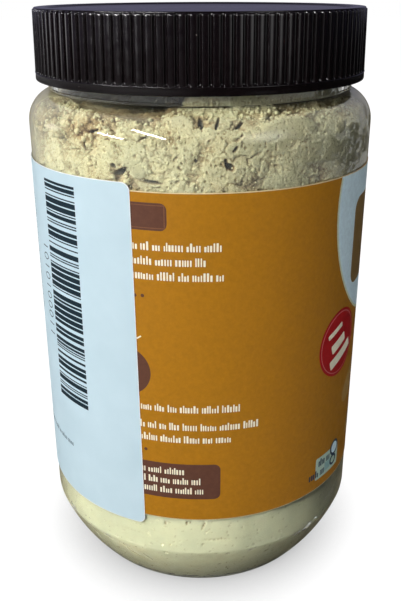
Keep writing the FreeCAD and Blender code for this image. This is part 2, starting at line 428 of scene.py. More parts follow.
# gaps and cracks in the powder against the wall: s and height of the middle, half width, half height, turn in
# degrees, depth, all in millimetres
GAPS = [
    (0.2, 144.5, 0.8, 1.7, 5, 2.6),
    (7.3, 134.2, 1.7, 1.0, -30, 2.4),
    (6.4, 135.3, 0.5, 1.2, 20, 1.5),
    (8.7, 138.4, 0.5, 1.2, -35, 1.6),
    (-20.8, 132.2, 2.6, 0.9, 25, 2.2),
    (-22.6, 133.6, 1.0, 0.7, -20, 1.5),
    (-12.4, 130.3, 3.6, 0.55, -6, 1.8),
    (-1.0, 135.8, 0.5, 0.6, 0, 1.5),
    (10.1, 144.0, 1.6, 0.45, 35, 1.8),
    (4.4, 144.2, 0.5, 1.6, -25, 1.9),
    (19.2, 138.5, 0.25, 1.2, 10, 1.4),
    (13.2, 136.5, 1.9, 0.22, 25, 1.3),
    (11.9, 135.1, 0.22, 1.2, 10, 1.2),
    (31.4, 131.5, 0.22, 1.3, -40, 1.3),
    (46.3, 134.4, 1.2, 0.6, 20, 1.8),
    (-29.0, 141.6, 2.6, 0.5, 12, 1.6),
    (-13.5, 141.2, 2.2, 0.35, 28, 1.5),
    (-31.5, 137.5, 0.5, 1.4, 15, 1.3),
]
# patches pressed flat on the wall: s, height, half width, half height, and how flat from 0 to 1
FLAT_PATCHES = [
    (-15.6, 133.3, 3.4, 2.6, 1.0),
    (1.1, 141.8, 3.0, 2.2, 0.8),
    (-4.8, 144.4, 3.0, 1.4, 0.8),
    (24.0, 142.5, 9.0, 3.0, 0.9),
    (30.0, 136.0, 9.0, 3.2, 0.8),
    (16.0, 139.5, 5.0, 2.4, 0.5),
]


def bore_radius(height):
    """Radius of the jar's inner wall above the heel."""
    if height <= SHOULDER_BOTTOM:
        return BORE_RADIUS
    radius = SHOULDER_RADIUS - WALL
    rise = min(height - SHOULDER_BOTTOM, radius)
    return max(NECK_BORE_RADIUS, SHOULDER_CENTRE_RADIUS + math.sqrt(radius**2 - rise**2))


def plug_share(degrees):
    """How far the powder fills the neck at an angle: 1 on the right, where it stands against the neck, else 0."""
    return smoothstep(-8.0, -5.0, degrees) * smoothstep(125, 100, degrees)


def rim_height(degrees):
    """Height at which the powder's top meets the wall at an angle."""
    angles, heights = np.array(RIM).T
    return float(np.interp(degrees, angles, heights)) * MM


def powder_top(x, y):
    """Height of the powder's top at a place in the jar: low on the left, and up in the neck on the right."""
    share = min(1.0, math.hypot(x, y) / NECK_BORE_RADIUS)
    degrees = math.degrees(math.atan2(x, -y))
    rough = noise.fractal(Vector((x, y, 0)) * 110, 0.9, 2.1, 4)
    edge = rim_height(degrees + 2.0 * rough)
    trough = smoothstep(0.5, 0.93, share) * (1 - plug_share(degrees))
    return POWDER_MIDDLE + (edge - POWDER_MIDDLE) * share**3 - POWDER_TROUGH * trough + 0.7 * MM * rough


def oval(s, height, patch):
    """How far inside an oval patch a place is: 1 in its middle, 0 at its edge and outside."""
    ds, dh = s - patch[0], height - patch[1]
    if abs(ds) + abs(dh) > 14:
        return 0.0
    turn = math.radians(patch[4]) if len(patch) > 5 else 0.0
    across = (ds * math.cos(turn) + dh * math.sin(turn)) / patch[2]
    up = (dh * math.cos(turn) - ds * math.sin(turn)) / patch[3]
    return max(0.0, 1 - math.hypot(across, up))


def crumbliness(s, height):
    """From 0, packed flat on the wall, to 1, loose crumbs."""
    loose = 0.62 - 0.36 * smoothstep(-8, 22, s) + 0.1 * smoothstep(50, 70, s) + 0.3 * smoothstep(-60, -80, s)
    loose += 0.25 * smoothstep(142.5, 146.5, height)
    loose -= 0.5 * smoothstep(146.8, 148.0, height) * smoothstep(2, 14, s)
    for patch in FLAT_PATCHES:
        loose -= patch[4] * smoothstep(0.0, 0.45, oval(s, height, patch))
    return loose


def cell_value(point, seed):
    """A number from 0 to 1 that stays the same all over one cell."""
    return 0.5 + 0.5 * noise.cell(point * 91.7 + Vector((seed, 2 * seed, 3 * seed)))


def rubble(place, size, seed):
    """Round grains side by side: from 0 on top of the proudest to 1 in the gaps between them."""
    (near, *_), (cell, *_) = noise.voronoi(place / size + Vector((seed, 2 * seed, 3 * seed)))
    cap = math.sqrt(max(0.0, 1 - (near / 0.8) ** 2))
    return 1 - cap * (0.5 + 0.5 * cell_value(cell, seed))


def crumb_depth(place, s, height):
    """How far the powder stands back from the wall at a place, and how much painted shade darkens and browns it
    there, all in millimetres.
    """
    zone = noise.fractal(place / 11 + Vector((3, 0, 7)), 0.9, 2.0, 3)
    loose = min(1.0, max(0.0, crumbliness(s, height) + 0.7 * zone))
    warped = place + noise.noise_vector(place / 2.3) * 0.9 + noise.noise_vector(place / 0.9) * 0.25
    (chunk_near, chunk_next), (chunk, _) = [part[:2] for part in noise.voronoi(warped / 5.2)]
    away = warped / 5.2 - chunk
    lean = Vector((cell_value(chunk, 1) - 0.5, cell_value(chunk, 2) - 0.5, cell_value(chunk, 3) - 0.5))
    relief = 0.7 * cell_value(chunk, 4) + 2.2 * away.dot(lean) + 0.4 * chunk_near
    clump = noise.voronoi(warped / 1.9 + Vector((5, 1, 4)))[0]
    relief += 0.4 * smoothstep(0.1, 0.75, clump[0])
    press = 1.0 - 0.95 * loose
    hollow = smoothstep(0.35, 0.8, noise.fractal(place / 5.2 + Vector((1, 8, 2)), 0.9, 2.0, 3))
    broad = max(0.0, relief - press) * (0.3 + 0.65 * loose) + 0.9 * hollow * (0.15 + loose)

    dust = noise.fractal(place / 0.42, 0.7, 2.0, 2)
    fine = (0.02 + 0.62 * loose * loose) * rubble(place + 0.3 * noise.noise_vector(place / 2.0), 1.7, 5)
    fine += (0.05 + 0.27 * loose) * rubble(place, 0.85, 9) + 0.05 * (0.5 + dust)
    crack = smoothstep(0.055, 0.0, chunk_next - chunk_near) * smoothstep(-0.1, 0.3, noise.noise(place / 4.1))
    split = smoothstep(0.09, 0.0, clump[1] - clump[0]) * smoothstep(0.12, 0.45, noise.noise(place / 3.3))
    pit = smoothstep(0.42, 0.56, noise.noise(place / 0.75 + Vector((4, 4, 9))))
    narrow = crack * (0.3 + 0.6 * loose) + split * (0.22 + 0.3 * loose) + 0.6 * pit
    ragged = 1.0 + 0.5 * noise.noise(place / 0.8)
    for gap in GAPS:
        inside = oval(s, height, gap)
        if inside > 0:
            narrow += gap[5] * smoothstep(0.0, 0.6, inside * ragged)
    # the second value is painted shade: hollows, fine gaps and cracks are drawn darker and browner by it
    return min(DEEPEST, broad + fine + narrow), min(DEEPEST, 0.42 * broad + 1.6 * fine + 1.15 * narrow)


def add_painted_shade(mesh, painted_shades):
    """Keeps each point's painted shade, given in millimetres as a share of the deepest, for the material to darken
    and brown it by.
    """
    attribute = mesh.attributes.new("depth", "FLOAT", "POINT")
    attribute.data.foreach_set("value", np.clip(painted_shades.reshape(-1) / DEEPEST, 0, 1))


def powder_edge(angle):
    """Height at which the powder's top meets the wall."""
    x, y, _z = around(NECK_BORE_RADIUS, angle, 0)
    degrees = math.degrees(math.atan2(x, -y))
    rough = noise.fractal(Vector((x, y, 0)) * 300, 0.9, 2.1, 3)
    return min(HIGHEST_RIM, rim_height(degrees + 1.5 * rough) + 0.35 * MM * rough)


def face_points():
    """The powder's rough face behind the clear wall: its places, and the painted shade at each."""
    heights = np.linspace(POWDER_SPLIT, 152 * MM, 1200)
    radii = np.array([bore_radius(h) for h in heights])
    way = np.concatenate([[0], np.cumsum(np.hypot(np.diff(heights), np.diff(radii)))])
    points = np.zeros((FACE_ROWS, FACE_COLUMNS, 3))
    painted_shades = np.zeros((FACE_ROWS, FACE_COLUMNS))
    for column in range(FACE_COLUMNS):
        angle = 2 * math.pi * column / FACE_COLUMNS
        s = (angle if angle < math.pi else angle - 2 * math.pi) * BODY_RADIUS / MM
        plug = plug_share(math.degrees(s * MM / BODY_RADIUS))
        top_way = np.interp(powder_edge(angle), heights, way)
        here = top_way * np.linspace(0, 1, FACE_ROWS)
        row_heights = np.interp(here, way, heights)
        row_radii = np.interp(here, way, radii)
        for row in range(FACE_ROWS):
            height, wall = float(row_heights[row]), float(row_radii[row])
            slope = min(1.0, max(0.0, (height - SHOULDER_BOTTOM) / (SHOULDER_RADIUS - WALL)))
            place = Vector(around(wall, angle, height)) / MM
            back, brown = crumb_depth(place, s, height / MM)
            back += 0.5 * smoothstep(1.2 * MM, 0.0, top_way - here[row]) * (1 - plug)
            inward = math.sqrt(1 - slope * slope) if wall > NECK_BORE_RADIUS + 0.3 * MM else 1.0
            radius = wall + POWDER_BITE * inward - back * MM * max(0.35, inward)
            height += POWDER_BITE * slope - back * MM * 0.9 * slope
            points[row, column] = around(radius, angle, height)
            painted_shades[row, column] = brown
    return points, painted_shades


def make_powder_face(points, painted_shades, material):
    """The rough face in two halves, each from one side of the jar to the other."""
    for name, start in (("powder_face_left", FACE_COLUMNS // 2), ("powder_face_right", 0)):
        columns = np.arange(start, start + FACE_COLUMNS // 2 + 1) % FACE_COLUMNS
        mesh = mesh_of_rows(name, points[:, columns], ring=False)
        add_painted_shade(mesh, painted_shades[:, columns])
        new_piece(name, mesh, material, "powder", "powder")


def make_powder_mound(rim_points, material):
    """The top of the powder, from the rim of its face in to the axis."""
    rows = 48
    step = 3
    rim = rim_points[::step]
    points = np.zeros((rows + 1, len(rim), 3))
    for column, (rim_x, rim_y, rim_z) in enumerate(rim):
        for row in range(rows + 1):
            inward = (row / rows) ** 1.2
            scale = 1 - 0.999 * inward
            x, y = rim_x * scale, rim_y * scale
            lumps = noise.fractal(Vector((x, y, 1 * MM)) * 420, 0.6, 2.0, 4)
            height = powder_top(x, y) + 1.1 * MM * lumps
            blend = smoothstep(0.0, 0.1, inward)
            points[row, column] = (x, y, rim_z * (1 - blend) + height * blend)
    mesh = mesh_of_rows("powder_mound", points)
    inner = np.hypot(points[..., 0], points[..., 1]) / NECK_BORE_RADIUS
    # painted shade: the mound is drawn dark brown all over, darker away from the wall, for the shade under the lid
    add_painted_shade(mesh, np.where(inner > 0.93, 1.2, 2.0) * np.ones(points.shape[:2]))
    new_piece("powder_mound", mesh, material, "powder", "powder")


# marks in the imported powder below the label, written as the gaps are: cracks, a row of dots, creases at the
# heel's edge and hollows on the heel
PACKED_MARKS = [
    (-10.7, 28.8, 0.25, 1.3, -12, 0.9),
    (-4.2, 29.6, 0.25, 1.3, -18, 1.2),
    (-3.1, 29.9, 0.2, 0.6, -10, 0.8),
    (0.7, 28.6, 0.22, 2.0, -22, 1.0),
    (-11.0, 17.8, 1.5, 0.22, 3, 0.8),
    (0.2, 17.7, 1.8, 0.22, -2, 0.8),
    (8.0, 17.9, 1.0, 0.2, 4, 0.6),
    (15.7, 18.1, 1.6, 0.24, 5, 0.9),
    (-48.5, 18.7, 3.4, 0.9, -16, 1.3),
    (-38.9, 17.0, 3.0, 0.7, -22, 1.1),
    (-31.5, 17.4, 2.2, 0.5, -12, 0.9),
    (-23.5, 14.8, 5.4, 0.22, -40, 0.9),
    (-17.5, 13.6, 3.0, 0.2, -46, 0.6),
    (36.5, 18.2, 2.6, 0.8, 22, 1.3),
    (32.0, 17.5, 1.8, 0.4, 14, 0.8),
    (21.5, 15.4, 1.2, 0.3, 30, 0.5),
    (6.0, 12.5, 0.9, 0.25, 25, 0.4),
]
DOT_ROW_HEIGHT = 23.6
DOT_SPACING = 1.15
# painted shade on the heel, which faces down
HEEL_PAINTED_SHADE = 0.08


def packed_depth(place, s, height):
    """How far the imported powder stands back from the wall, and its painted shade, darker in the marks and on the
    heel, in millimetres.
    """
    fine = 0.5 + 0.5 * noise.fractal(place / 2.4, 0.8, 2.0, 3)
    back = 0.06 * fine
    ragged = 1.0 + 0.5 * noise.noise(place / 0.9)
    wander = 0.5 * noise.noise(place / 3.0)
    for mark in PACKED_MARKS:
        inside = oval(s + wander, height + wander, mark)
        if inside > 0:
            back += mark[5] * smoothstep(0.0, 0.7, inside * ragged)
    seam = abs(height - DOT_ROW_HEIGHT - 0.5 * wander)
    if seam < 0.5:
        dots = 0.5 + 0.5 * math.sin(2 * math.pi * s / DOT_SPACING + 5 * wander)
        back += 0.3 * smoothstep(0.5, 0.1, seam) * dots * smoothstep(-0.1, 0.3, noise.noise(place / 8))
    pit = smoothstep(0.5, 0.6, noise.noise(place / 0.9 + Vector((4, 4, 9))))
    back += 0.25 * pit
    # painted shade: the heel below its crease is drawn browner and darker
    heel = smoothstep(18.6, 17.4, height + wander)
    return back, back + HEEL_PAINTED_SHADE * heel * (0.6 + 0.8 * fine)


def make_powder_body(material):
    """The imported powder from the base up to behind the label."""
    columns = 880
    foot = (HEEL_FOOT_RADIUS - WALL, HEEL_FOOT_HEIGHT + BASE_WALL)
    profile = [(r + POWDER_BITE * 0.5, z - POWDER_BITE) for r, z in dome(BASE_WALL, 9)]
    profile += bowed(foot, (BORE_RADIUS + POWDER_BITE, HEEL_HEIGHT), HEEL_BULGE + POWDER_BITE, 44)
    profile += [(BORE_RADIUS + POWDER_BITE, h * MM) for h in np.linspace(19.1, 33, 46)]
    profile += [(BORE_RADIUS + POWDER_BITE, h * MM) for h in (60, 90, 120)]
    profile += [(BORE_RADIUS + POWDER_BITE, POWDER_SPLIT), (0.01 * MM, POWDER_SPLIT)]
    points = turned_points(profile, evenly(columns))
    painted_shades = np.zeros(points.shape[:2])
    for row in range(points.shape[0]):
        for column in range(columns):
            x, y, z = points[row, column]
            radius = math.hypot(x, y)
            if z > 34 * MM or radius < 36 * MM:
                continue
            s = math.atan2(x, -y) * BODY_RADIUS / MM
            back, brown = packed_depth(Vector((x, y, z)) / MM, s, z / MM)
            points[row, column] = (x * (1 - back * MM / radius), y * (1 - back * MM / radius), z)
            painted_shades[row, column] = brown
    mesh = mesh_of_rows("powder_body", points)
    add_painted_shade(mesh, painted_shades)
    new_piece("powder_body", mesh, material, "powder", "powder")


GRAIN_COUNT = 4200
GRAIN_SHAPE = [
    Vector((a, b, c)).normalized()
    for a, b, c in (
        (-1, 1.618, 0), (1, 1.618, 0), (-1, -1.618, 0), (1, -1.618, 0), (0, -1, 1.618), (0, 1, 1.618),
        (0, -1, -1.618), (0, 1, -1.618), (1.618, 0, -1), (1.618, 0, 1), (-1.618, 0, -1), (-1.618, 0, 1),
    )
]
GRAIN_FACES = [
    (0, 11, 5), (0, 5, 1), (0, 1, 7), (0, 7, 10), (0, 10, 11), (1, 5, 9), (5, 11, 4), (11, 10, 2), (10, 7, 6),
    (7, 1, 8), (3, 9, 4), (3, 4, 2), (3, 2, 6), (3, 6, 8), (3, 8, 9), (4, 9, 5), (2, 4, 11), (6, 2, 10),
    (8, 6, 7), (9, 8, 1),
]


def make_grains(points, material):
    """Loose grains over the powder's face, thicker towards its top."""
    draw = random.Random(41)
    vertices = []
    faces = []
    rows, columns, _ = points.shape
    for _ in range(GRAIN_COUNT):
        row = int((rows - 1) * draw.random() ** 0.8)
        x, y, z = points[row, draw.randrange(columns)]
        size = MM * (0.22 + 0.55 * draw.random() ** 3)
        radius = math.hypot(x, y)
        middle = min(radius + 0.1 * size, bore_radius(z) + 0.05 * MM - size * 0.9)
        centre = Vector((x * middle / radius, y * middle / radius, z))
        first = len(vertices)
        for corner in GRAIN_SHAPE:
            vertices.append(centre + corner * size * draw.uniform(0.7, 1.05))
        faces += [tuple(first + index for index in face) for face in GRAIN_FACES]
    mesh = bpy.data.meshes.new("powder_grains")
    mesh.from_pydata(vertices, [], faces)
    smooth(mesh)
    add_painted_shade(mesh, np.full(len(vertices), 0.25))
    new_piece("powder_grains", mesh, material, "powder")


def make_powder():
    loose = powder("powder_loose", (227, 223, 189), 0.5, 1.0, 0.9)
    points, painted_shades = face_points()
    make_powder_face(points, painted_shades, loose)
    make_powder_mound(points[-1], loose)
    make_grains(points, loose)
    make_powder_body(powder("powder_packed", (238, 238, 207), 0.04, 0.6, 0.2))


# ---- lid ----
RIB_COUNT = 110
# one rib's pitch: how far across it, and how deep in the groove, from the groove's middle to the next one's
RIB_SHAPE = [
    (0.0, 1.0), (0.06, 0.97), (0.115, 0.76), (0.16, 0.32), (0.2, 0.07), (0.26, 0.0),
    (0.5, -0.04), (0.74, 0.0), (0.8, 0.07), (0.84, 0.32), (0.885, 0.76), (0.94, 0.97),
]
LID_FOOT_RADIUS = 46.7 * MM
LID_TOP_RADIUS = 46.3 * MM
LID_BORE_RADIUS = 44.7 * MM
LID_BAND_HEIGHT = 2.2 * MM
RIM_RADIUS = 45.95 * MM
RECESS_RADIUS = 42.4 * MM
RECESS_DEPTH = 0.5 * MM
LID_TOP_WALL = 1.2 * MM
GROOVE_DEPTH = 0.72 * MM
LIP = 0.12 * MM


def lid_rows():
    """The lid's profile as (radius, height, share of the groove's depth), from its bore round to its underside."""
    low, high = LID_LOW.z, LID_HIGH.z
    band = low + LID_BAND_HEIGHT
    rib_end = high - 0.42 * MM

    def side(height):
        share = (height - low) / (high - low)
        return LID_FOOT_RADIUS + (LID_TOP_RADIUS - LID_FOOT_RADIUS) * share

    rows = [(LID_BORE_RADIUS, low + 0.2 * MM, 0), (LID_BORE_RADIUS + 0.3 * MM, low, 0)]
    rows += [(side(low) - 0.35 * MM, low, 0), (side(low) - 0.1 * MM, low + 0.1 * MM, 0)]
    rows += [(side(low), low + 0.35 * MM, 0), (side(low), low + 0.6 * MM, 0)]
    rows += [(side(band) + LIP * step / 3, band - (0.6 - 0.15 * step) * MM, 0) for step in range(4)]
    rows += [(side(band) + LIP * 0.7, band - 0.05 * MM, 0), (side(band), band, 0.0)]
    rows += [(side(band), band + 0.12 * MM, 0.35), (side(band), band + 0.2 * MM, 0.75)]
    rows += [(side(band), band + 0.35 * MM, 1.0), (side(band), band + 0.7 * MM, 1.0)]
    rows += [(side(low + k * MM), low + k * MM, 1.0) for k in (5, 9, 13)]
    rows += [(side(rib_end), rib_end - 0.7 * MM, 1.0), (side(rib_end), rib_end - 0.35 * MM, 1.0)]
    rows += [(side(rib_end) - 0.05 * MM, rib_end - 0.15 * MM, 0.95), (side(rib_end) - 0.2 * MM, rib_end, 0.8)]
    rows += [(RIM_RADIUS, rib_end + 0.08 * MM, 0.3), (RIM_RADIUS, rib_end + 0.16 * MM, 0)]
    rows += [(r, z, 0) for r, z in arc((RIM_RADIUS - 0.24 * MM, high - 0.24 * MM), 0.24 * MM, 0, 90, 5)]
    rows += [(RECESS_RADIUS + RECESS_DEPTH + 0.3 * MM, high, 0)]
    rows += [(RECESS_RADIUS + RECESS_DEPTH, high - 0.05 * MM, 0), (RECESS_RADIUS + 0.1 * MM, high - RECESS_DEPTH + 0.06 * MM, 0)]
    rows += [(RECESS_RADIUS - 0.2 * MM, high - RECESS_DEPTH, 0), (0.02 * MM, high - RECESS_DEPTH, 0)]
    under = high - RECESS_DEPTH - LID_TOP_WALL
    rows += [(0.02 * MM, under, 0), (LID_BORE_RADIUS - 0.3 * MM, under, 0), (LID_BORE_RADIUS, under - 0.3 * MM, 0)]
    return rows


def make_lid():
    rows = lid_rows()
    pitch = 2 * math.pi / RIB_COUNT
    angles = [pitch * (rib + across) for rib in range(RIB_COUNT) for across, _ in RIB_SHAPE]
    shares = np.array([groove for _, groove in RIB_SHAPE] * RIB_COUNT)
    points = turned_points([(radius, height) for radius, height, _ in rows], angles)
    for row, (radius, _, depth) in enumerate(rows):
        scale = 1 - GROOVE_DEPTH * depth * shares / radius
        points[row, :, 0] *= scale
        points[row, :, 1] *= scale
    mesh = mesh_of_rows("ribbed_lid", points, closed=True, sharp=50)
    return new_piece("ribbed_lid", mesh, lid_plastic(), "lid_plastic", "lid")


# ---- label and print ----
LABEL_FACE = 49.62 * MM
INK = 0.012 * MM
SLICE = 1.0


def rectangle(s0, s1, h0, h1, corner=0.0, steps=5):
    """Outline of a rectangle with rounded corners, from s0 to s1 and from h0 down to h1."""
    if corner <= 0:
        return [(s0, h1), (s1, h1), (s1, h0), (s0, h0)]
    outline = []
    corners = [(s1 - corner, h1 - corner, 270), (s1 - corner, h0 + corner, 0)]
    corners += [(s0 + corner, h0 + corner, 90), (s0 + corner, h1 - corner, 180)]
    for s, h, start in corners:
        for step in range(steps + 1):
            angle = math.radians(start + 90 * step / steps)
            outline.append((s + corner * math.cos(angle), h - corner * math.sin(angle)))
    return outline


def ellipse(s, h, half_width, half_height, steps=64):
    turns = [2 * math.pi * i / steps for i in range(steps)]
    return [(s + half_width * math.cos(t), h - half_height * math.sin(t)) for t in turns]


def slanted(outline, centre, degrees):
    """An outline turned about a point, anticlockwise as seen from outside."""
    c, s = math.cos(math.radians(degrees)), math.sin(math.radians(degrees))
    turned = []
    for x, y in outline:
        dx, dy = x - centre[0], y - centre[1]
        turned.append((centre[0] + dx * c + dy * s, centre[1] - dx * s + dy * c))
    return turned


def slab(bm, outline, low, high):
    """A flat solid of an outline in millimetres, between two heights above the label's face."""
    bottom = [bm.verts.new((s, -h, low)) for s, h in outline]
    top = [bm.verts.new((s, -h, high)) for s, h in outline]
    bm.faces.new(top)
    bm.faces.new(bottom[::-1])
    for i in range(len(outline)):
        j = (i + 1) % len(outline)
        bm.faces.new((bottom[i], bottom[j], top[j], top[i]))


def wrapped_mesh(name, outlines, low, high, face=LABEL_FACE, step=SLICE):
    """A mesh of flat outlines cut into strips and laid round the jar."""
    bm = bmesh.new()
    for outline in outlines:
        slab(bm, outline, low, high)
    left = min(v.co.x for v in bm.verts)
    right = max(v.co.x for v in bm.verts)
    cut = math.floor(left / step) * step + step
    while cut < right:
        geometry = bm.verts[:] + bm.edges[:] + bm.faces[:]
        bmesh.ops.bisect_plane(bm, geom=geometry, dist=1e-6, plane_co=(cut, 0, 0), plane_no=(1, 0, 0))
        cut += step
    bmesh.ops.recalc_face_normals(bm, faces=bm.faces)
    for vertex in bm.verts:
        angle = vertex.co.x * MM / BODY_RADIUS
        height = LABEL_HIGH.z + vertex.co.y * MM
        vertex.co = around(face + vertex.co.z, angle, height)
    mesh = bpy.data.meshes.new(name)
    bm.to_mesh(mesh)
    bm.free()
    smooth(mesh, 30)
    return mesh


def ring_strips(s, h, half_width, half_height, stroke, steps=64):
    """An oval ring, as one short strip after another."""
    outer = ellipse(s, h, half_width, half_height, steps)
    inner = ellipse(s, h, half_width - stroke, half_height - stroke, steps)
    return [[outer[i - 1], outer[i], inner[i], inner[i - 1]] for i in range(steps)]


def text_ticks(right, baseline, left, height, seed):
    """A row of small upright ticks in groups, standing in for a line of print that ends at right."""
    draw = random.Random(seed)
    outlines = []
    s = right
    while s > left:
        for _ in range(draw.randint(3, 8)):
            width = height * draw.choice([0.16, 0.18, 0.24])
            tall = height * draw.choice([0.74, 0.74, 0.62, 1.0])
            outlines.append(rectangle(s - width, s, baseline - tall, baseline, height * 0.05, 2))
            s -= width + height * draw.choice([0.1, 0.14])
        s -= height * 0.3
    return outlines


def make_label():
    label_bottom = (LABEL_HIGH.z - LABEL_LOW.z) / MM
    half_turn = math.pi * BODY_RADIUS / MM
    sheet = [rectangle(-half_turn, half_turn - 0.15, 0, label_bottom)]
    mesh = wrapped_mesh("label_sheet", sheet, -0.11 * MM, 0.0)
    material = print_ink("label_ochre", colour(178, 120, 20))
    new_piece("label_sheet", mesh, material, "label_paper", "label")


def print_piece(name, outlines, layer, material):
    mesh = wrapped_mesh(name, outlines, (layer - 1) * INK if layer > 1 else 0.0, layer * INK)
    return new_piece(name, mesh, material, "label_paper")


def peanut(s, h, length, degrees):
    """Outline of a two-lobed shell."""
    outline = []
    for step in range(48):
        t = 2 * math.pi * step / 48
        waist = 0.68 + 0.32 * abs(math.cos(t)) ** 1.5
        outline.append((s + length / 2 * math.cos(t), h - length * 0.26 * waist * math.sin(t)))
    return slanted(outline, (s, h), degrees)


# places on the label in millimetres: s or s from and to, h or h from and to
UPPER_BOX = (-40, -8.3, 2.8, 9.9)
LOWER_BOX = (-40, 5.5, 78.0, 89.7)
DOTS = ((-17.3, 27.7), (-15.2, 27.6), (-15.7, 74.2))
BACK_PANEL = (-150, -104, 8.0, 88.0)
BACK_ROWS = 16
CUT_EDGE = 0.28


def frame_strips(s0, s1, h0, h1, inset, width):
    """Thin lines just inside a rectangle's edges."""
    left, right, top, bottom = s0 + inset, s1 - inset, h0 + inset, h1 - inset
    strips = [rectangle(left, right, top, top + width), rectangle(left, right, bottom - width, bottom)]
    strips += [rectangle(left, left + width, top, bottom), rectangle(right - width, right, top, bottom)]
    return strips


def make_print():
    brown = print_ink("ink_brown", colour(102, 66, 51))
    white = print_ink("ink_white", colour(250, 241, 214))
    pale = print_ink("ink_pale", colour(216, 241, 250), 0.4, 0.25)
    cream = print_ink("ink_cream", colour(216, 226, 190))
    red = print_ink("ink_red", colour(182, 16, 22))
    pink = print_ink("ink_pink", colour(214, 110, 110))
    plate = print_ink("ink_plate", colour(142, 112, 62))
    tan = print_ink("ink_tan", colour(186, 146, 82))
    teal = print_ink("ink_teal", colour(44, 66, 88))

    boxes = [rectangle(*UPPER_BOX, 1.8), rectangle(*LOWER_BOX, 1.8)]
    boxes.append(ellipse(-20.7, 50.1, 7.1, 7.1))
    boxes += [ellipse(s, h, 0.5, 0.5, 12) for s, h in DOTS]
    print_piece("print_brown", boxes, 1, brown)

    outline = print_ink("ink_outline", colour(134, 92, 64))
    print_piece("print_outline", frame_strips(*UPPER_BOX, 0.55, 0.18), 2, outline)
    half_turn = math.pi * BODY_RADIUS / MM
    label_bottom = (LABEL_HIGH.z - LABEL_LOW.z) / MM
    cut = print_ink("label_cut_edge", colour(232, 214, 168))
    edges = [rectangle(-half_turn, half_turn - 0.15, 0, CUT_EDGE)]
    edges.append(rectangle(-half_turn, half_turn - 0.15, label_bottom - 0.5 * CUT_EDGE, label_bottom))
    print_piece("print_cut_edge", edges, 4, cut)

    lines = [slanted(rectangle(-17.4, -15.9, 39.4, 39.8), (-16.5, 39.6), 35)]
    for seed, (right, base) in enumerate(((5.3, 15.1), (1.3, 19.0), (5.9, 23.0))):
        lines += text_ticks(right, base, -20, 2.3, seed)
    for seed, (right, base) in enumerate(((10.7, 61.4), (16.1, 67.0), (8.3, 71.0))):
        lines += text_ticks(right, base, -20, 2.3, 10 + seed)
    for seed, (right, base) in enumerate(((-4.8, 81.6), (-0.2, 84.8), (0.6, 88.0))):
        lines += text_ticks(right, base, -20, 2.2, 20 + seed)
    print_piece("print_white", lines, 3, white)

    print_piece("print_panel", [[(s, max(0.0, h)) for s, h in ellipse(71, 10, 30, 36)]], 1, pale)
    rim = [strip for strip in ring_strips(71, 10, 30, 36, 0.7, 96) if min(h for _, h in strip) > 0]
    print_piece("print_panel_rim", rim, 2, cream)
    print_piece("print_plate", [rectangle(52, 90, 8, 34, 4)], 2, plate)

    centre = (47.2, 49.9)
    print_piece("print_badge", [ellipse(*centre, 10.5, 10.5)], 3, red)
    print_piece("print_ring", ring_strips(*centre, 9.7, 9.7, 0.3), 4, pink)
    bars = [(-1.2, -5.0, 8.0, 1.6), (-0.5, 0.0, 8.0, 3.0), (0.0, 4.6, 13.0, 3.0)]
    words = []
    for s, h, length, height in bars:
        box = rectangle(
            centre[0] + s - length / 2, centre[0] + s + length / 2,
            centre[1] + h - height / 2, centre[1] + h + height / 2, 0.5, 3,
        )
        words.append(slanted(box, centre, 18))
    print_piece("print_badge_bars", words, 4, white)

    nuts = [peanut(62, 66, 22, 35), peanut(80, 70, 24, -20), peanut(70, 84, 22, 8)]
    print_piece("print_peanuts", nuts, 2, tan)

    mint = print_ink("ink_mint", colour(184, 208, 190))
    print_piece("print_small_panel", [rectangle(38.4, 51.8, 86.1, 93.8, 0.5)], 1, mint)
    print_piece("print_small_block", [rectangle(43.2, 46.6, 89.6, 92.6, 0.2)], 2, print_ink("ink_sea", colour(150, 190, 186)))
    marks = text_ticks(45.9, 89.4, 39.0, 2.6, 31) + text_ticks(43.0, 92.9, 39.0, 2.6, 32)
    marks += [ellipse(48.9, 86.7, 2.7, 2.7, 32)] + ring_strips(48.4, 90.9, 2.1, 1.9, 0.8, 32)
    print_piece("print_small_marks", marks, 3, teal)
    print_piece("print_small_dot", [ellipse(48.9, 86.7, 1.9, 1.9, 32)], 4, pale)

    print_piece("print_back_panel", [rectangle(*BACK_PANEL, 2.0)], 1, pale)
    rows = frame_strips(*BACK_PANEL, 1.2, 0.4)
    for row in range(BACK_ROWS):
        base = BACK_PANEL[2] + 8.0 + row * 4.6
        rows += text_ticks(BACK_PANEL[1] - 4 - 5 * (row % 3), base, BACK_PANEL[0] + 6, 2.0, 50 + row)
        rows.append(rectangle(BACK_PANEL[0] + 3, BACK_PANEL[1] - 3, base + 1.2, base + 1.2 + 0.25))
    print_piece("print_back_rows", rows, 2, brown)


# ---- sticker ----
STICKER_FACE = 49.82 * MM
STICKER_CORNER = 2.2
STICKER_TURN = 0.6
STICKER_RIM = 0.2
FIGURES = 10


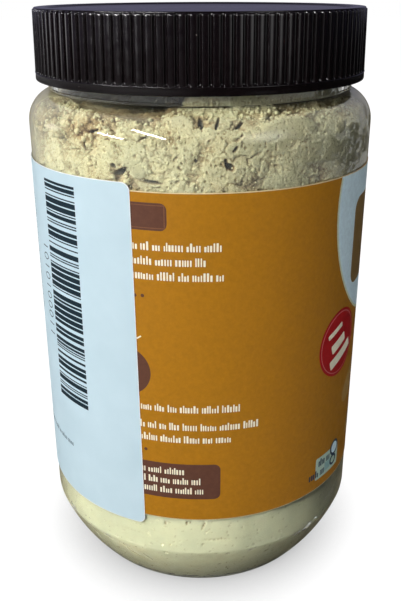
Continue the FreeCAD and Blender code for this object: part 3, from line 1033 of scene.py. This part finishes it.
def make_sticker():
    top = (LABEL_HIGH.z - STICKER_HIGH.z) / MM
    bottom = (LABEL_HIGH.z - STICKER_LOW.z) / MM
    right = -16.85
    left = right - 75.9
    sheet = slanted(rectangle(left, right, top, bottom, STICKER_CORNER, 8), (right, bottom), STICKER_TURN)
    # a rim of paper whiter than the sheet, 0.2 mm beyond it: partly the cut edge and partly a painted highlight
    # along it
    rim = rectangle(
        left - STICKER_RIM, right + STICKER_RIM, top - STICKER_RIM, bottom + STICKER_RIM, STICKER_CORNER, 8
    )
    rim = slanted(rim, (right, bottom), STICKER_TURN)
    mesh = wrapped_mesh("sticker_edge_and_highlight", [rim], -0.1 * MM, -0.03 * MM, STICKER_FACE)
    new_piece("sticker_edge_and_highlight", mesh, print_ink("sticker_edge_highlight", colour(246, 250, 250)), "sticker_paper")
    mesh = wrapped_mesh("sticker_sheet", [sheet], -0.1 * MM, 0.0, STICKER_FACE)
    new_piece("sticker_sheet", mesh, sticker_paper(), "sticker_paper", "sticker")
    draw = random.Random(7)
    bars = []
    h = 1.5
    module = 0.36
    while h < 67.5:
        width = module * draw.choice([1, 1, 2, 3, 4, 4])
        bars.append(rectangle(-50, -35.2, h, h + width))
        h += width + module * draw.choice([1, 1, 1, 2, 3])
    for figure in range(FIGURES):
        middle = 21.8 + figure * 3.0
        if draw.random() < 0.6:
            bars += ring_strips(-53.3, middle, 1.75, 1.05, 0.3, 20)
        else:
            bars.append(rectangle(-55.0, -51.6, middle - 0.16, middle + 0.16))
    black = print_ink("ink_black", colour(24, 44, 54), 0.5)
    mesh = wrapped_mesh("sticker_bars", bars, 0.0, INK, STICKER_FACE)
    new_piece("sticker_bars", mesh, black, "sticker_paper")
    grey = print_ink("ink_grey", colour(96, 118, 128), 0.5)
    turn_point = (-64.5, 10.0)
    column = [slanted(tick, turn_point, -90) for tick in text_ticks(-30, 10.6, -64.5, 1.5, 61)]
    small = column + text_ticks(-44.3, 83.7, -78, 1.7, 62)
    mesh = wrapped_mesh("sticker_small_marks", small, 0.0, INK, STICKER_FACE)
    new_piece("sticker_small_marks", mesh, grey, "sticker_paper")


# ---- stage, lights and camera ----
FLOOR_ALBEDO = 0.8
SEEN_FLOOR_ALBEDO = 0.1
SHADE_REACH = 0.028
SHADE_END = 0.74
DARKEST_SHADE = 0.3
WORLD_LEVEL = 0.083
WORLD_TINT = (0.94, 0.97, 1.06)
MIRRORED_WORLD = (0.15, 0.145, 0.22)
MIRRORED_WORLD_RIGHT = (0.03, 0.03, 0.045)
MIRRORED_TABLE_LEFT = 0.3
MIRRORED_TABLE_RIGHT = 0.03
LAMP_TARGET = Vector((0, 0, 0.08))

# name: azimuth and elevation in degrees, distance, width, height, power, turn in degrees, and what it is for: to
# light the object, to show in its gloss with sharp edges, or to show there with soft ones
LAMPS = {
    "key": (-41, 32, 1.2, 0.6, 0.5, 12.0, 0, "light"),
    "front": (15, 58, 1.2, 0.8, 0.6, 1.2, 0, "light"),
    "left": (-118, 8, 1.2, 0.6, 0.4, 1.5, 0, "light"),
    "back": (155, 35, 1.2, 0.9, 0.7, 5.0, 0, "light"),
    "streak_a": (-57.5, 13.8, 1.0, 0.38, 0.045, 5.0, -23, "sharp"),
    "streak_b": (-33.0, 27.0, 1.0, 0.56, 0.045, 6.5, -41, "sharp"),
    "sheen_right": (42, 17, 1.0, 0.8, 0.8, 7.0, 0, "soft"),
    "sheen_left": (-108, 6, 1.0, 0.45, 0.3, 1.2, 30, "soft"),
}


def make_floor():
    size = 4.0
    mesh = bpy.data.meshes.new("floor")
    corners = [(-size, -size, 0), (size, -size, 0), (size, size, 0), (-size, size, 0)]
    mesh.from_pydata(corners, [], [(0, 1, 2, 3)])
    floor = bpy.data.objects.new("floor", mesh)
    bpy.context.scene.collection.objects.link(floor)
    nodes = Nodes("floor")
    path = nodes.add("LightPath")
    through = nodes.math("MULTIPLY", path.outputs["Is Transmission Ray"], nodes.math("LESS_THAN", path.outputs["Diffuse Depth"], 0.5))
    seen = nodes.math("MAXIMUM", path.outputs["Is Camera Ray"], through)
    # painted shadow: the floor's white glow, where seen straight on, is dimmed by ambient occlusion near the jar
    shade = nodes.add("AmbientOcclusion", {"Distance": SHADE_REACH}, samples=16).outputs["AO"]
    lift = nodes.math("MULTIPLY", seen, nodes.scaled(shade, 0.0, SHADE_END, DARKEST_SHADE, 1.0))
    across = nodes.add("SeparateXYZ", {0: nodes.place()}).outputs["X"]
    table = nodes.scaled(across, -0.3, 0.05, MIRRORED_TABLE_LEFT, MIRRORED_TABLE_RIGHT)
    grey = nodes.mix(path.outputs["Is Glossy Ray"], (FLOOR_ALBEDO, FLOOR_ALBEDO, FLOOR_ALBEDO, 1), table)
    grey = nodes.mix(seen, grey, (SEEN_FLOOR_ALBEDO, SEEN_FLOOR_ALBEDO, SEEN_FLOOR_ALBEDO, 1))
    paint = nodes.add("BsdfDiffuse", {"Color": grey})
    glow = nodes.add("Emission", {"Color": (1, 1, 1, 1), "Strength": lift})
    shader = nodes.add("AddShader", {0: paint.outputs[0], 1: glow.outputs[0]})
    mesh.materials.append(nodes.finish(shader.outputs[0]))


def make_world():
    world = bpy.data.worlds.new("studio")
    bpy.context.scene.world = world
    world.use_nodes = True
    tree = world.node_tree
    background = tree.nodes["Background"]
    path = tree.nodes.new("ShaderNodeLightPath")
    straight = tree.nodes.new("ShaderNodeMath")
    straight.operation = "LESS_THAN"
    tree.links.new(path.outputs["Diffuse Depth"], straight.inputs[0])
    straight.inputs[1].default_value = 0.5
    through = tree.nodes.new("ShaderNodeMath")
    through.operation = "MULTIPLY"
    tree.links.new(path.outputs["Is Transmission Ray"], through.inputs[0])
    tree.links.new(straight.outputs[0], through.inputs[1])
    seen = tree.nodes.new("ShaderNodeMath")
    seen.operation = "MAXIMUM"
    tree.links.new(path.outputs["Is Camera Ray"], seen.inputs[0])
    tree.links.new(through.outputs[0], seen.inputs[1])
    mix = tree.nodes.new("ShaderNodeMix")
    mix.data_type = "RGBA"
    room = tree.nodes.new("ShaderNodeMix")
    room.data_type = "RGBA"
    room.inputs[6].default_value = (*(WORLD_LEVEL * part for part in WORLD_TINT), 1)
    direction = tree.nodes.new("ShaderNodeTexCoord")
    leftward = tree.nodes.new("ShaderNodeVectorMath")
    leftward.operation = "DOT_PRODUCT"
    tree.links.new(direction.outputs["Generated"], leftward.inputs[0])
    leftward.inputs[1].default_value = (-0.8, 0.6, 0)
    share = tree.nodes.new("ShaderNodeMapRange")
    tree.links.new(leftward.outputs["Value"], share.inputs["Value"])
    share.inputs["From Min"].default_value = -0.5
    share.inputs["From Max"].default_value = 0.3
    mirrored = tree.nodes.new("ShaderNodeMix")
    mirrored.data_type = "RGBA"
    tree.links.new(share.outputs["Result"], mirrored.inputs[0])
    mirrored.inputs[6].default_value = (*MIRRORED_WORLD_RIGHT, 1)
    mirrored.inputs[7].default_value = (*MIRRORED_WORLD, 1)
    tree.links.new(mirrored.outputs[2], room.inputs[7])
    tree.links.new(path.outputs["Is Glossy Ray"], room.inputs[0])
    tree.links.new(room.outputs[2], mix.inputs[6])
    mix.inputs[7].default_value = (1, 1, 1, 1)
    tree.links.new(seen.outputs[0], mix.inputs[0])
    tree.links.new(mix.outputs[2], background.inputs["Color"])


def soften(lamp):
    """Makes a lamp fade from its middle to its edges."""
    lamp.use_nodes = True
    tree = lamp.node_tree
    place = tree.nodes.new("ShaderNodeNewGeometry")
    away = tree.nodes.new("ShaderNodeVectorMath")
    away.operation = "DISTANCE"
    tree.links.new(place.outputs["Parametric"], away.inputs[0])
    away.inputs[1].default_value = (0.5, 0.5, 0)
    fade = tree.nodes.new("ShaderNodeMapRange")
    fade.interpolation_type = "SMOOTHSTEP"
    tree.links.new(away.outputs["Value"], fade.inputs["Value"])
    fade.inputs["From Max"].default_value = 0.5
    fade.inputs["To Min"].default_value = 1.0
    fade.inputs["To Max"].default_value = 0.0
    tree.links.new(fade.outputs["Result"], tree.nodes["Emission"].inputs["Strength"])


def make_lamps():
    """Rectangular lamps aimed at the jar's middle and turned about their own axes."""
    for name, (azimuth, elevation, distance, width, height, power, turn, use) in LAMPS.items():
        angle, rise = math.radians(azimuth), math.radians(elevation)
        data = bpy.data.lights.new(name, "AREA")
        data.shape = "RECTANGLE"
        data.size = width
        data.size_y = height
        data.energy = power
        lamp = bpy.data.objects.new(name, data)
        lamp.location = LAMP_TARGET + Vector(around(distance * math.cos(rise), angle, distance * math.sin(rise)))
        lamp.rotation_euler = (LAMP_TARGET - lamp.location).to_track_quat("-Z", "Y").to_euler()
        lamp.rotation_euler.rotate_axis("Z", math.radians(turn))
        lamp.visible_camera = False
        lamp.visible_transmission = False
        lamp.visible_diffuse = use == "light"
        lamp.visible_glossy = use != "light"
        if use == "soft":
            soften(data)
        bpy.context.scene.collection.objects.link(lamp)


CAMERA_DISTANCE = 0.23115
CAMERA_HEIGHT = 0.17527
CAMERA_TILT = 67.51
CAMERA_ROLL = -0.17
CAMERA_LENS = 46.04


def make_camera():
    data = bpy.data.cameras.new("camera")
    data.lens = CAMERA_LENS
    data.sensor_width = 36
    camera = bpy.data.objects.new("camera", data)
    camera.location = (0, -CAMERA_DISTANCE, CAMERA_HEIGHT)
    camera.rotation_euler = (math.radians(CAMERA_TILT), 0, 0)
    camera.rotation_euler.rotate_axis("Z", math.radians(CAMERA_ROLL))
    bpy.context.scene.collection.objects.link(camera)
    bpy.context.scene.camera = camera


make_jar()
make_powder()
make_lid()
make_label()
make_print()
make_sticker()
make_floor()
make_world()
make_lamps()
make_camera()
bpy.context.scene.view_settings.view_transform = "Standard"
